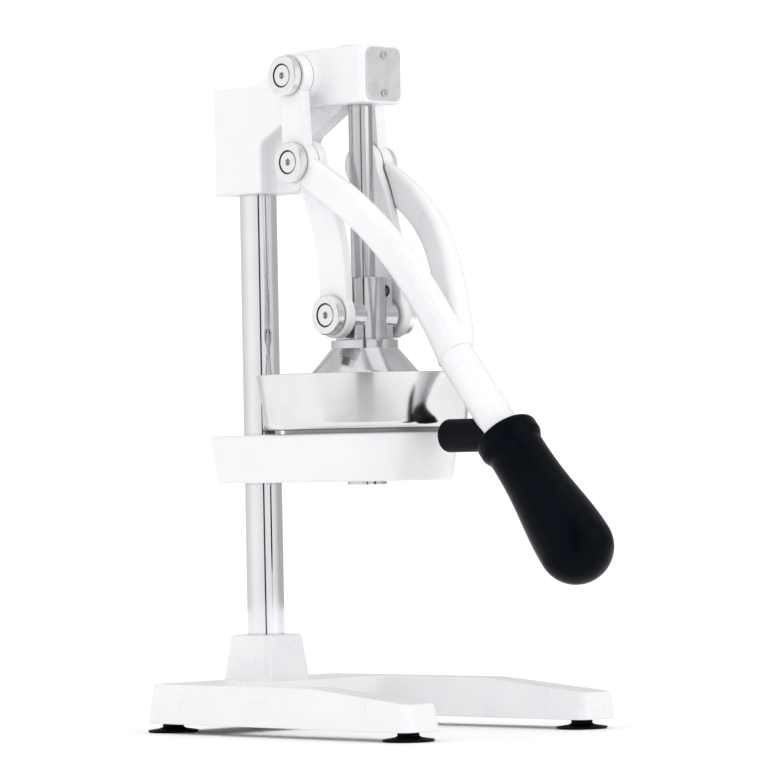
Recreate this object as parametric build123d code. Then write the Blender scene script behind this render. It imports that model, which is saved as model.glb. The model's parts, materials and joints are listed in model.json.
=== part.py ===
from build123d import *
import math
import os

# Citrus press juicer with a hand lever. Millimetres. +Z is up, +X points to the operator and z = 0 is
# the surface that the feet stand on. The shapes are built with x = y = 0 on the ram's axis, and the
# finished solids are moved so that the origin is under the middle of the whole press.
# Left is -Y and right is +Y, as the operator sees them.

os.makedirs("parts", exist_ok=True)

# ---- clearances ----
RUN_FIT = 0.05  # radial, between a pin or slide and its bore
SEAT_FIT = 0.03  # radial or end gap between pieces that are fastened together
SIDE_GAP = 0.4  # beside a piece that turns

# ---- stand ----
FOOT_HEIGHT = 6.0
FOOT_RADIUS = 15.5
FOOT_DISC = 1.8
FOOT_EDGE = 0.8
FOOT_STEM_RADIUS = 6.5
FOOT_INSET_FRONT = 15.1  # foot axis from the legs' front ends
FOOT_INSET_REAR = 8.4
FOOT_INSET_SIDE = 16.6
FOOT_SCREW_RADIUS = 2.0
FOOT_SCREW_LENGTH = 12.0
FOOT_SCREW_HEAD_RADIUS = 4.0
FOOT_SCREW_HEAD = 1.8
FOOT_RECESS_GAP = 1.0  # round the screw's head
FOOT_PAD_REACH = 8.5  # solid metal round a foot's axis

REACH = 91.4  # column axis to ram axis
BASE_FRONT = 119.8  # ram axis to the legs' front ends
BASE_OVERHANG = 24.0  # column axis to the base's rear edge
BASE_HALF_WIDTH_FRONT = 92.1
BASE_NARROWING = 10.3  # each side, from the front end to the rear
LEG_WIDTH = 31.5
CROSSBAR_DEPTH = 62.0
BASE_HEIGHT = 24.0
LEG_TIP_DROP = 8.0
LEG_SLOPE_LENGTH = 87.0
BASE_WALL = 5.0
BASE_CORNER = 7.0
BASE_EDGE = 1.8
CAST_DRAFT = 8.5  # degrees

COLUMN_RADIUS = 11.5
COLUMN_CHAMFER = 1.0
SOCKET_HEIGHT = 27.8  # above the top of the base
SOCKET_WALL = 5.5  # beside the column, at the top
SOCKET_FLARE = 7.0  # wider at the foot than at the top
SOCKET_CORNER = 6.0
SOCKET_EDGE = 2.5
SOCKET_BLEND = 2.5  # fillet between the socket and the base
SOCKET_FLOOR = 8.0  # metal between the column and its washer
COLUMN_BOLT_RADIUS = 5.0
COLUMN_BOLT_LENGTH = 30.0
COLUMN_BOLT_FLATS = 17.0
COLUMN_BOLT_HEAD = 6.4
COLUMN_BOLT_RECESS = 2.0  # bolt head above the base's underside
COLUMN_WASHER_RADIUS = 11.0
COLUMN_WASHER = 2.0

# ---- head casting ----
HEAD_BOTTOM = 331.0  # height of the head above the floor
HEAD_HEIGHT = 66.4
HEAD_SIDE_WALL = 5.9  # beside the column
HEAD_REAR_WALL = 9.1
HEAD_FRONT_WALL = 9.2
HEAD_EDGE = 1.6
HEAD_CAP_METAL = 14.0  # above the column's end
ARM_RISE = 19.2  # top of the arm above the block
ARM_DEPTH = 35.2
ARM_SLOPE = 0.51  # rise over run of the arm's two slopes
ARM_NOSE_WALL = 12.6  # metal before the ram
ARM_NOSE_CORNER = 4.0
ARM_BEHIND_HUB = 12.0  # level top behind the fulcrum
THROAT_HEIGHT = 31.0  # upright front of the block below the arm
RAM_BOSS_WALL = 5.1
RAM_BOSS_RISE = 1.5
WEB_HALF_THICKNESS = 5.0
WEB_REACH = 21.3  # before the block, at the head's bottom
WEB_LEAN = 10.6  # how far its front edge leans forward
WEB_EDGE_HEIGHT = 32.4
WEB_BLEND = 6.0  # fillet between the web and the arm
HUB_BLEND = 2.5  # fillet between the fulcrum hub and the arm
SET_SCREW_RADIUS = 3.0
SET_SCREW_LENGTH = 5.0
SET_SCREW_KEY = 1.5  # half of its hexagon socket, across corners
HEAD_SCREW_HEIGHTS = (12.0, 40.0)  # above the head's bottom

# ---- ram and press head, radial sizes ----
RAM_RADIUS = 7.4
RAM_CHAMFER = 0.8
HEAD_HUB_WALL = 6.2
EAR_ROOT = 5.8  # ear inside the hub's radius
EAR_STAND_OFF = 2.9  # ear outside the hub's radius
EAR_BOSS_RISE = 3.5
EAR_BOSS_WALL = 5.0  # round a head pin

# ---- linkage ----
FULCRUM_BEHIND = 25.2  # behind the ram axis
FULCRUM_DROP = 17.1  # below the top of the arm
CRANK_DROP = 52.9  # crank pin below the fulcrum, lever at rest
CRANK_FORWARD = 3.5  # crank pin before the fulcrum, lever at rest
PIN_RADIUS = 6.0
HUB_WALL = 7.5  # round a pin, in the lever and the head
LEVER_THICKNESS = 8.0
CRANK_STRIP_HALF = 8.9
CAP_OVERLAP = 6.0  # cap's radius over the pin's
CAP_THICKNESS = 5.8
CAP_CHAMFER = 0.6
CAP_COUNTERBORE_GAP = 0.9  # round the screw's head
CAP_COUNTERBORE_DEPTH = 3.6
CAP_SCREW_RADIUS = 3.0
CAP_SCREW_HEAD_RADIUS = 6.5
CAP_SCREW_HEAD = 3.3
CAP_SCREW_DEPTH = 6.5  # into the pin
HEX_KEY = 4.0
HEX_KEY_DEPTH = 2.4
LINK_THICKNESS = 7.0
LINK_EYE_WALL = 8.0
LINK_WIDTH = 23.0
LINK_BOW = 7.0
LINK_BLEND = 8.0  # between an eye and the band
LINK_EDGE = 1.4
LINK_GAP = 0.6  # between a link and the lever

# ---- press head, upright sizes ----
EAR_HALF_WIDTH = 9.0
EAR_CORNER = 1.2
EAR_DROP = 1.0  # ears' tops below the hub's
HEAD_HUB_RISE = 23.0  # hub's top above the head pins
BELL_SHOULDER_LEDGE = 6.8  # shoulder's radius over the hub's
BELL_SHOULDER_DROP = 15.0  # shoulder below the head pins
BELL_SHOULDER_HEIGHT = 5.0
BELL_HEIGHT = 41.0  # shoulder's top to rim
BELL_KNEE_OUT = 11.9  # knee's radius over the shoulder's
BELL_KNEE_DROP = 14.0  # knee below the shoulder's foot
BELL_LIP = 1.5
BELL_WALL = 3.6
BELL_GAP = 4.7  # rim above the strainer at rest
BELL_IN_STRAINER = 6.5  # rim inside the strainer's radius
RAM_SEAT = 3.0  # ram's foot above the cone's top
HEAD_PIN_ROOT = 2.5  # metal between a head pin and the ram
LOCK_PIN_RADIUS = 3.7
LOCK_PIN_DROP = 8.0  # below the hub's top
LOCK_PIN_BITE = 1.1  # how deep it cuts into the ram
LOCK_PIN_LENGTH = 9.0
LOCK_PIN_BACK = 4.0  # its middle behind the ram axis

# ---- shelf and bowl ----
SHELF_BOTTOM = 152.0
SHELF_THICKNESS = 29.4
SHELF_UNDERCUT = 4.3  # shelf's radius inside the bowl's
SHELF_TAIL_WALL = 18.0  # beside the column
SHELF_REAR_WALL = 10.0  # behind the column
SHELF_CORNER = 9.0
SHELF_TAIL_LENGTH = 40.0
SHELF_EDGE = 2.0
SHELF_WALL = 5.0
SHELF_POCKET_INSET = 8.3
SEAT_RISE = 2.4
SEAT_UNDERCUT = 10.8  # seat's radius inside the bowl's
BOWL_BASE_RADIUS = 60.8
BOWL_FLARE = 5.7
BOWL_DEPTH = 33.6
BOWL_WALL = 1.4
BOWL_CORNER = 4.5
SPOUT_RADIUS = 12.0
SPOUT_BELOW_SHELF = 2.1
SPOUT_GAP = 0.8
STRAINER_GAP = 6.3  # inside the bowl's radius
STRAINER_HEIGHT = 7.0
STRAINER_SHEET = 1.2
STRAINER_RINGS = ((14.0, 30), (8.5, 36))  # holes' ring inside the strainer's radius, number
STRAINER_HOLE_RADIUS = 1.6
STRAINER_LEDGE = 6.0  # under the reamer's edge
REAMER_RADIUS = 33.0
REAMER_HEIGHT = 34.0
REAMER_TIP_RADIUS = 3.5
REAMER_TIP = 1.2
REAMER_WALL = 2.4
REAMER_RIBS = 12
REAMER_RIB = 1.6
REAMER_RIB_RISE = 1.5
REAMER_RIB_START = 4.0  # from the axis

# ---- lever shaft, grip and bumper ----
# Centre line of one lever arm after the crank pin: forward, down from the pin, |y|, depth, thickness.
ARM_STATIONS = (
    (22.0, 14.5, 31.0, 20.5, 10.0),
    (45.5, 31.5, 28.0, 20.5, 11.0),
    (66.5, 54.0, 21.5, 20.5, 12.5),
    (82.5, 80.0, 13.0, 21.0, 14.5),
    (93.5, 104.0, 5.5, 21.5, 17.0),
)
ARM_ROOT_DEPTH = 18.0
ARM_ROOT_SET_BACK = 0.6  # arm's root thinner than the crank
ARM_ROOT_RUN = (0.83, -0.56)  # direction in which the arm leaves the crank pin
ARM_CORNER_SHARE = 0.42  # corner radius over thickness
SHAFT_FORWARD = 98.7  # start of the straight shaft, from the crank pin
SHAFT_DROP = 120.2
SHAFT_ANGLE = 50.5  # below horizontal
SHAFT_RADIUS = 11.3
GRIP_START = 61.0  # along the shaft from its start
GRIP_LENGTH = 110.0
GRIP_COLLAR_WALL = 8.2
GRIP_COLLAR = 9.0
GRIP_COLLAR_FALL = 5.0  # from the collar down to the neck
GRIP_NECK_WALL = 5.9
GRIP_END_RADIUS = 22.5
GRIP_SWELL = 1.4  # over the neck, at GRIP_SWELL_PLACE of the way to the end
GRIP_SWELL_PLACE = 0.4
GRIP_CORE_STEP = 2.3  # core's radius under the shaft's
GRIP_CORE_LENGTH = 84.0
BUMPER_RADIUS = 10.0
BUMPER_DROP = 168.2  # axis below the crank pin
BUMPER_REACH = 90.7  # end face before the crank pin
BUMPER_EDGE = 2.0
BUMPER_STUD_RADIUS = 3.0
BUMPER_STUD_LENGTH = 24.0
BUMPER_STUD_END = 7.0  # stud's end before the shaft's axis

# ---- nameplate ----
PLATE_WIDTH = 28.7
PLATE_HEIGHT = 32.5
PLATE_THICKNESS = 0.8
PLATE_CORNER = 5.0
PLATE_SCREW_RADIUS = 1.3
PLATE_SCREW_LENGTH = 6.0
PLATE_SCREW_HEAD_RADIUS = 2.4
PLATE_SCREW_HEAD = 1.2
PLATE_SCREW_DOME = 0.9
PLATE_SCREW_PITCH = 23.0

# ---- places that follow from the sizes above ----
COLUMN_X = -REACH
BASE_REAR_X = COLUMN_X - BASE_OVERHANG
BASE_TOP = FOOT_HEIGHT + BASE_HEIGHT
SOCKET_TOP = BASE_TOP + SOCKET_HEIGHT
SOCKET_TOP_WIDTH = 2 * (COLUMN_RADIUS + SOCKET_WALL)
SOCKET_FOOT_WIDTH = SOCKET_TOP_WIDTH + SOCKET_FLARE
WASHER_FACE = FOOT_HEIGHT + COLUMN_BOLT_RECESS + COLUMN_BOLT_HEAD + COLUMN_WASHER
COLUMN_BOTTOM = WASHER_FACE + SOCKET_FLOOR
HEAD_TOP = HEAD_BOTTOM + HEAD_HEIGHT
HEAD_HALF_WIDTH = COLUMN_RADIUS + HEAD_SIDE_WALL
HEAD_REAR_X = COLUMN_X - COLUMN_RADIUS - HEAD_REAR_WALL
HEAD_FRONT_X = COLUMN_X + COLUMN_RADIUS + HEAD_FRONT_WALL
COLUMN_TOP = HEAD_TOP - HEAD_CAP_METAL
ARM_TOP = HEAD_TOP + ARM_RISE
ARM_BOTTOM = ARM_TOP - ARM_DEPTH
ARM_NOSE = RAM_RADIUS + ARM_NOSE_WALL
SHELF_TOP = SHELF_BOTTOM + SHELF_THICKNESS
SHELF_RADIUS = BOWL_BASE_RADIUS - SHELF_UNDERCUT
SEAT_TOP = SHELF_TOP + SEAT_RISE
SEAT_RADIUS = BOWL_BASE_RADIUS - SEAT_UNDERCUT
BOWL_FLOOR = SEAT_TOP + BOWL_WALL
BOWL_RIM_RADIUS = BOWL_BASE_RADIUS + BOWL_FLARE
STRAINER_TOP = BOWL_FLOOR + STRAINER_HEIGHT
STRAINER_RADIUS = BOWL_BASE_RADIUS - STRAINER_GAP
STRAINER_DRAIN_RADIUS = REAMER_RADIUS - STRAINER_LEDGE
SPOUT_BOTTOM = SHELF_BOTTOM - SPOUT_BELOW_SHELF
BELL_RIM_Z = STRAINER_TOP + BELL_GAP
BELL_RIM_RADIUS = STRAINER_RADIUS - BELL_IN_STRAINER
SHOULDER_TOP = BELL_RIM_Z + BELL_HEIGHT
CONE_TOP = SHOULDER_TOP - BELL_SHOULDER_HEIGHT
KNEE_Z = CONE_TOP - BELL_KNEE_DROP
HEAD_PIN_Z = SHOULDER_TOP + BELL_SHOULDER_DROP
HUB_TOP = HEAD_PIN_Z + HEAD_HUB_RISE
HEAD_HUB_RADIUS = RAM_RADIUS + HEAD_HUB_WALL
SHOULDER_RADIUS = HEAD_HUB_RADIUS + BELL_SHOULDER_LEDGE
KNEE_RADIUS = SHOULDER_RADIUS + BELL_KNEE_OUT
EAR_INSIDE = HEAD_HUB_RADIUS - EAR_ROOT
EAR_OUTSIDE = HEAD_HUB_RADIUS + EAR_STAND_OFF
EAR_BOSS_FACE = EAR_OUTSIDE + EAR_BOSS_RISE
EAR_BOSS_RADIUS = PIN_RADIUS + EAR_BOSS_WALL
RAM_BOTTOM = CONE_TOP + RAM_SEAT
RAM_TOP = ARM_TOP - RAM_CHAMFER
LOCK_PIN_Y = RAM_RADIUS + LOCK_PIN_RADIUS - LOCK_PIN_BITE
LOCK_PIN_Z = HUB_TOP - LOCK_PIN_DROP
HUB_RADIUS = PIN_RADIUS + HUB_WALL
LINK_EYE_RADIUS = PIN_RADIUS + LINK_EYE_WALL
CAP_RADIUS = PIN_RADIUS + CAP_OVERLAP
CAP_COUNTERBORE_RADIUS = CAP_SCREW_HEAD_RADIUS + CAP_COUNTERBORE_GAP
FULCRUM_X = -FULCRUM_BEHIND
FULCRUM_Z = ARM_TOP - FULCRUM_DROP
CRANK_X = FULCRUM_X + CRANK_FORWARD
CRANK_Z = FULCRUM_Z - CRANK_DROP
CRANK = math.hypot(CRANK_DROP, CRANK_FORWARD)
CRANK_LEAN = math.degrees(math.atan2(CRANK_FORWARD, CRANK_DROP))
LINK_INSIDE = EAR_BOSS_FACE + SIDE_GAP
LINK_OUTSIDE = LINK_INSIDE + LINK_THICKNESS
LINK_LENGTH = math.hypot(CRANK_X, CRANK_Z - HEAD_PIN_Z)
LEVER_INSIDE = LINK_OUTSIDE + LINK_GAP
LEVER_OUTSIDE = LEVER_INSIDE + LEVER_THICKNESS
LEVER_CAP_FACE = LEVER_OUTSIDE + SIDE_GAP
HEAD_CAP_FACE = LINK_OUTSIDE + SIDE_GAP
SHAFT_START = Vector(CRANK_X + SHAFT_FORWARD, 0, CRANK_Z - SHAFT_DROP)
SHAFT_RUN = Vector(math.cos(math.radians(SHAFT_ANGLE)), 0, -math.sin(math.radians(SHAFT_ANGLE)))
SHAFT_PLANE = Plane(origin=SHAFT_START, x_dir=(0, 1, 0), z_dir=SHAFT_RUN)
GRIP_BASE = SHAFT_START + SHAFT_RUN * GRIP_START
GRIP_TIP_CENTRE = GRIP_BASE + SHAFT_RUN * (GRIP_LENGTH - GRIP_END_RADIUS)
GRIP_PLANE = Plane(origin=GRIP_BASE, x_dir=(0, 1, 0), z_dir=SHAFT_RUN)
GRIP_CORE_RADIUS = SHAFT_RADIUS - GRIP_CORE_STEP
GRIP_COLLAR_RADIUS = SHAFT_RADIUS + GRIP_COLLAR_WALL
GRIP_NECK_RADIUS = SHAFT_RADIUS + GRIP_NECK_WALL
BUMPER_Z = CRANK_Z - BUMPER_DROP
BUMPER_FACE_X = CRANK_X + BUMPER_REACH
BUMPER_SHAFT_X = SHAFT_START.X + (SHAFT_START.Z - BUMPER_Z) / math.tan(math.radians(SHAFT_ANGLE))
PLATE_MIDDLE = (ARM_TOP + ARM_BOTTOM) / 2
FOOT_FRONT_X = BASE_FRONT - FOOT_INSET_FRONT
FOOT_REAR_X = BASE_REAR_X + FOOT_INSET_REAR
MIDDLE_X = (GRIP_TIP_CENTRE.X + GRIP_END_RADIUS + FOOT_REAR_X - FOOT_RADIUS) / 2
SIDES = (("left", -1), ("right", 1))
PAST = 1.0  # how far a cutting tool runs past a face


def leg_side_y(x):
    """Half width of the base's outline at its bottom, at a station along X."""
    share = (x - BASE_REAR_X) / (BASE_FRONT - BASE_REAR_X)
    return BASE_HALF_WIDTH_FRONT - (1 - share) * BASE_NARROWING


def foot_places():
    """Name and centre of each foot."""
    places = []
    for end, x in (("front", FOOT_FRONT_X), ("rear", FOOT_REAR_X)):
        for side, sign in SIDES:
            y = sign * (leg_side_y(x) - FOOT_INSET_SIDE)
            places.append((f"foot_{end}_{side}", Vector(x, y, 0)))
    return places


def rod_z(radius, x, y, low, high):
    """Upright cylinder between two heights."""
    return Pos(x, y, (low + high) / 2) * Cylinder(radius, high - low)


def rod_x(radius, y, z, low, high):
    """Cylinder along X between two stations."""
    return Pos((low + high) / 2, y, z) * Rot(0, 90, 0) * Cylinder(radius, high - low)


def rod_y(radius, x, z, side, inner, outer):
    """Cylinder along Y on one side of the middle, between two distances from it."""
    middle = side * (inner + outer) / 2
    return Pos(x, middle, z) * Rot(90, 0, 0) * Cylinder(radius, outer - inner)


def block(low, high):
    """Box between two corners."""
    size = [b - a for a, b in zip(low, high)]
    middle = [(a + b) / 2 for a, b in zip(low, high)]
    return Pos(*middle) * Box(*size)


def outline(points, radii):
    """Closed face with rounded corners."""
    return make_face(FilletPolyline(*points, radius=radii, close=True))


def plate_xz(face, half_thickness):
    """Solid from a face drawn as X and Z, centred on the middle plane."""
    return extrude(Plane.XZ * face, amount=half_thickness, both=True)


def turned(points, x=0.0, y=0.0):
    """Solid of revolution about an upright axis, from radius and height points."""
    return Pos(x, y, 0) * revolve(Plane.XZ * make_face(Polyline(*points, close=True)), Axis.Z)


def edges_near(part, test):
    """Edges of a solid whose middle passes a test."""
    return part.edges().filter_by(lambda edge: test(edge @ 0.5))


# ---- stand ----


def base_outline(inset):
    """U-shaped outline of the base at its bottom, shrunk all round."""
    rear = BASE_REAR_X + inset
    front = BASE_FRONT - inset
    gap_back = BASE_REAR_X + CROSSBAR_DEPTH - inset
    gap_half = BASE_HALF_WIDTH_FRONT - LEG_WIDTH + inset
    half_rear = leg_side_y(rear) - inset
    half_front = leg_side_y(front) - inset
    left = [(rear, -half_rear), (front, -half_front), (front, -gap_half), (gap_back, -gap_half)]
    points = left + [(x, -y) for x, y in reversed(left)]
    corner = BASE_CORNER - inset * (1 - math.tan(math.radians(CAST_DRAFT)))
    return outline(points, [corner] * len(points))


def base_profile(drop):
    """Side view of the base, with the slope to the leg tips, lowered by an amount."""
    slope_start = BASE_FRONT - LEG_SLOPE_LENGTH
    points = [
        (BASE_REAR_X - PAST, FOOT_HEIGHT),
        (BASE_FRONT + PAST, FOOT_HEIGHT),
        (BASE_FRONT + PAST, BASE_TOP - LEG_TIP_DROP - drop),
        (slope_start, BASE_TOP - drop),
        (BASE_REAR_X - PAST, BASE_TOP - drop),
    ]
    return plate_xz(make_face(Polyline(*points, close=True)), BASE_HALF_WIDTH_FRONT + PAST)


def base_body(inset, drop):
    """Drafted U-shaped solid."""
    raised = extrude(Pos(0, 0, FOOT_HEIGHT) * base_outline(inset), amount=BASE_HEIGHT, taper=CAST_DRAFT)
    return raised & base_profile(drop)


def column_socket():
    """Square tapered boss that holds the column."""
    sections = []
    for z, width in ((BASE_TOP - BASE_WALL / 2, SOCKET_FOOT_WIDTH), (SOCKET_TOP, SOCKET_TOP_WIDTH)):
        sections.append(Pos(COLUMN_X, 0, z) * RectangleRounded(width, width, SOCKET_CORNER))
    boss = loft(sections)
    return fillet(boss.edges().group_by(Axis.Z)[-1], SOCKET_EDGE)


def foot_pads():
    """Solid corners above the feet: the full width of each leg, and the two rear corners."""
    inside_leg = BASE_HALF_WIDTH_FRONT - LEG_WIDTH - PAST
    pads = []
    for _, place in foot_places():
        side = math.copysign(1, place.Y)
        inner = abs(place.Y) - FOOT_PAD_REACH
        ends = (BASE_REAR_X - PAST, place.X + FOOT_PAD_REACH)
        if place.X > 0:
            inner = inside_leg
            ends = (place.X - FOOT_PAD_REACH, BASE_FRONT + PAST)
        low_y, high_y = sorted((side * inner, side * (BASE_HALF_WIDTH_FRONT + PAST)))
        pads.append(block((ends[0], low_y, FOOT_HEIGHT - PAST), (ends[1], high_y, BASE_TOP + PAST)))
    return pads


def base_casting():
    """Base with its socket, pocket, foot bosses and holes."""
    outer = base_body(0, 0)
    outer = fillet(edges_near(outer, lambda p: p.Z > FOOT_HEIGHT + BASE_HEIGHT / 2), BASE_EDGE)
    outer += column_socket()
    outer = fillet(edges_near(outer, at_socket_foot), SOCKET_BLEND)
    pocket = base_body(BASE_WALL, BASE_WALL)
    column_core = rod_z(COLUMN_RADIUS + BASE_WALL, COLUMN_X, 0, FOOT_HEIGHT, BASE_TOP)
    pocket -= column_core
    for pad in foot_pads():
        pocket -= pad
    base = outer - pocket
    base -= rod_z(COLUMN_RADIUS + SEAT_FIT, COLUMN_X, 0, COLUMN_BOTTOM, SOCKET_TOP + PAST)
    base -= rod_z(COLUMN_BOLT_RADIUS + SEAT_FIT, COLUMN_X, 0, FOOT_HEIGHT, COLUMN_BOTTOM + PAST)
    base -= rod_z(COLUMN_WASHER_RADIUS + COLUMN_CHAMFER, COLUMN_X, 0, FOOT_HEIGHT - PAST, WASHER_FACE)
    hole_top = FOOT_DISC + FOOT_SCREW_LENGTH + PAST
    for _, place in foot_places():
        base -= rod_z(FOOT_SCREW_RADIUS + SEAT_FIT, place.X, place.Y, FOOT_HEIGHT - PAST, hole_top)
    return base


def at_socket_foot(place):
    """Whether a point lies on the line where the socket meets the base."""
    reach = SOCKET_FOOT_WIDTH / 2
    beside = abs(place.X - COLUMN_X) < reach and abs(place.Y) < reach
    return beside and abs(place.Z - BASE_TOP) < SEAT_FIT


def foot(place):
    """Rubber foot: wide disc, cone and stem, with a recess for its screw."""
    head_radius = FOOT_SCREW_HEAD_RADIUS + FOOT_RECESS_GAP
    bore = FOOT_SCREW_RADIUS + SEAT_FIT
    recess = FOOT_DISC + FOOT_RECESS_GAP / 2
    points = [
        (head_radius, 0),
        (FOOT_RADIUS - FOOT_EDGE, 0),
        (FOOT_RADIUS, FOOT_EDGE),
        (FOOT_RADIUS, FOOT_DISC - FOOT_EDGE / 2),
        (FOOT_STEM_RADIUS + 2 * FOOT_EDGE, FOOT_DISC + FOOT_EDGE),
        (FOOT_STEM_RADIUS, FOOT_DISC + 2 * FOOT_EDGE),
        (FOOT_STEM_RADIUS, FOOT_HEIGHT - SEAT_FIT),
        (bore, FOOT_HEIGHT - SEAT_FIT),
        (bore, recess),
        (head_radius, recess),
    ]
    return turned(points, place.X, place.Y)


def foot_screw(place):
    """Pan-head screw up through one foot into the base."""
    head_top = FOOT_DISC + FOOT_RECESS_GAP / 2 - SEAT_FIT
    head_bottom = head_top - FOOT_SCREW_HEAD
    end = FOOT_DISC + FOOT_SCREW_LENGTH
    drive = FOOT_SCREW_HEAD_RADIUS * 0.3
    points = [
        (0, head_bottom + FOOT_SCREW_HEAD / 2),
        (drive, head_bottom + FOOT_SCREW_HEAD / 2),
        (drive, head_bottom),
        (FOOT_SCREW_HEAD_RADIUS * 0.75, head_bottom),
        (FOOT_SCREW_HEAD_RADIUS, head_bottom + FOOT_SCREW_HEAD / 2),
        (FOOT_SCREW_HEAD_RADIUS, head_top),
        (FOOT_SCREW_RADIUS, head_top),
        (FOOT_SCREW_RADIUS, end),
        (0, end),
    ]
    return turned(points, place.X, place.Y)


def column():
    """Chromed column with a tapped hole in its foot."""
    bar = rod_z(COLUMN_RADIUS, COLUMN_X, 0, COLUMN_BOTTOM + SEAT_FIT, COLUMN_TOP)
    bar = chamfer(bar.edges().filter_by(GeomType.CIRCLE), COLUMN_CHAMFER)
    depth = WASHER_FACE + COLUMN_BOLT_LENGTH + PAST
    return bar - rod_z(COLUMN_BOLT_RADIUS + SEAT_FIT, COLUMN_X, 0, COLUMN_BOTTOM, depth)


def column_washer():
    """Washer under the socket's floor."""
    top = WASHER_FACE - SEAT_FIT
    bottom = top - COLUMN_WASHER
    ring = rod_z(COLUMN_WASHER_RADIUS, COLUMN_X, 0, bottom, top)
    return ring - rod_z(COLUMN_BOLT_RADIUS + SEAT_FIT, COLUMN_X, 0, bottom - PAST, top + PAST)


def column_bolt():
    """Hexagon bolt up into the column."""
    seat = WASHER_FACE - COLUMN_WASHER - 2 * SEAT_FIT
    hexagon = RegularPolygon(COLUMN_BOLT_FLATS / 2, 6, major_radius=False)
    head = extrude(Pos(COLUMN_X, 0, seat - COLUMN_BOLT_HEAD) * hexagon, amount=COLUMN_BOLT_HEAD)
    shank = rod_z(COLUMN_BOLT_RADIUS, COLUMN_X, 0, seat, seat + COLUMN_BOLT_LENGTH)
    return head + shank


# ---- head casting ----


def head_side_face():
    """Side view of the head block and its arm."""
    level = FULCRUM_X - ARM_BEHIND_HUB
    under_x = HEAD_FRONT_X + (ARM_BOTTOM - HEAD_BOTTOM - THROAT_HEIGHT) / ARM_SLOPE
    points = [
        (HEAD_REAR_X, HEAD_BOTTOM),
        (HEAD_FRONT_X, HEAD_BOTTOM),
        (HEAD_FRONT_X, HEAD_BOTTOM + THROAT_HEIGHT),
        (under_x, ARM_BOTTOM),
        (ARM_NOSE, ARM_BOTTOM),
        (ARM_NOSE, ARM_TOP),
        (level, ARM_TOP),
        (level - ARM_RISE / ARM_SLOPE, HEAD_TOP),
        (HEAD_REAR_X, HEAD_TOP),
    ]
    radii = [0, 0, 8, 12, 0, 0, 14, 26, 0]
    return outline(points, radii)


def web_face():
    """Side view of the thin web under the arm."""
    root = HEAD_FRONT_X - WEB_HALF_THICKNESS
    web_front = HEAD_FRONT_X + WEB_REACH
    tip = -RAM_RADIUS - RUN_FIT
    high = ARM_BOTTOM + WEB_HALF_THICKNESS
    points = [
        (root, HEAD_BOTTOM),
        (web_front, HEAD_BOTTOM),
        (web_front + WEB_LEAN, HEAD_BOTTOM + WEB_EDGE_HEIGHT),
        (tip, ARM_BOTTOM),
        (tip, high),
        (root, high),
    ]
    return outline(points, [0, 6, 7, 0, 0, 0])


def head_casting():
    """Head block, arm, fulcrum hub, web and ram bore in one casting."""
    body = plate_xz(head_side_face(), HEAD_HALF_WIDTH)
    nose = edges_near(body, lambda p: abs(p.X - ARM_NOSE) < 0.1 and abs(p.Y) > HEAD_HALF_WIDTH - 0.1)
    body = fillet(nose, ARM_NOSE_CORNER)
    body = fillet(edges_near(body, lambda p: abs(p.Y) > 1 or p.X > ARM_NOSE - 0.1), HEAD_EDGE)
    body += plate_xz(web_face(), WEB_HALF_THICKNESS)
    body = fillet(edges_near(body, at_web_root), WEB_BLEND)
    hub_half = LEVER_INSIDE - SIDE_GAP
    body += rod_y(HUB_RADIUS, FULCRUM_X, FULCRUM_Z, 1, -hub_half, hub_half)
    body = fillet(edges_near(body, at_hub_root), HUB_BLEND)
    boss = rod_z(RAM_RADIUS + RAM_BOSS_WALL, 0, 0, ARM_TOP - RAM_BOSS_WALL, ARM_TOP + RAM_BOSS_RISE)
    head = body + fillet(boss.edges().group_by(Axis.Z)[-1], RAM_BOSS_RISE * 0.7)
    head -= rod_z(RAM_RADIUS + RUN_FIT, 0, 0, ARM_BOTTOM - WEB_BLEND - PAST, ARM_TOP + RAM_BOSS_RISE + PAST)
    head -= rod_z(COLUMN_RADIUS + SEAT_FIT, COLUMN_X, 0, HEAD_BOTTOM - PAST, COLUMN_TOP + SEAT_FIT)
    head -= rod_y(PIN_RADIUS + SEAT_FIT, FULCRUM_X, FULCRUM_Z, 1, -hub_half - PAST, hub_half + PAST)
    for z in head_screw_heights():
        head -= rod_x(SET_SCREW_RADIUS + SEAT_FIT, 0, z, HEAD_REAR_X - PAST, COLUMN_X)
    for z in plate_screw_heights():
        head -= rod_x(PLATE_SCREW_RADIUS + SEAT_FIT, 0, z, ARM_NOSE - PLATE_SCREW_LENGTH, ARM_NOSE + PAST)
    return head


def at_web_root(place):
    """Whether a point lies on the line where the web meets the arm's underside or the block's front."""
    beside = abs(abs(place.Y) - WEB_HALF_THICKNESS) < SEAT_FIT
    before_ram = place.X < -RAM_RADIUS - PAST
    return beside and before_ram and in_throat(place)


def in_throat(place):
    """Whether a point lies on the head's side outline between the block's front and the arm."""
    on_front = abs(place.X - HEAD_FRONT_X) < SEAT_FIT and place.Z > HEAD_BOTTOM + PAST
    on_arm = abs(place.Z - ARM_BOTTOM) < SEAT_FIT
    rise = place.Z - HEAD_BOTTOM - THROAT_HEIGHT
    on_slope = abs(rise - ARM_SLOPE * (place.X - HEAD_FRONT_X)) < THROAT_HEIGHT / 8
    return on_front or on_arm or on_slope


def at_hub_root(place):
    """Whether a point lies on the line where the fulcrum hub meets the arm's side."""
    away = math.hypot(place.X - FULCRUM_X, place.Z - FULCRUM_Z)
    return abs(abs(place.Y) - HEAD_HALF_WIDTH) < SEAT_FIT and abs(away - HUB_RADIUS) < PAST


def head_screw_heights():
    """Heights of the set screws in the back of the head."""
    return [HEAD_BOTTOM + height for height in HEAD_SCREW_HEIGHTS]


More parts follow.
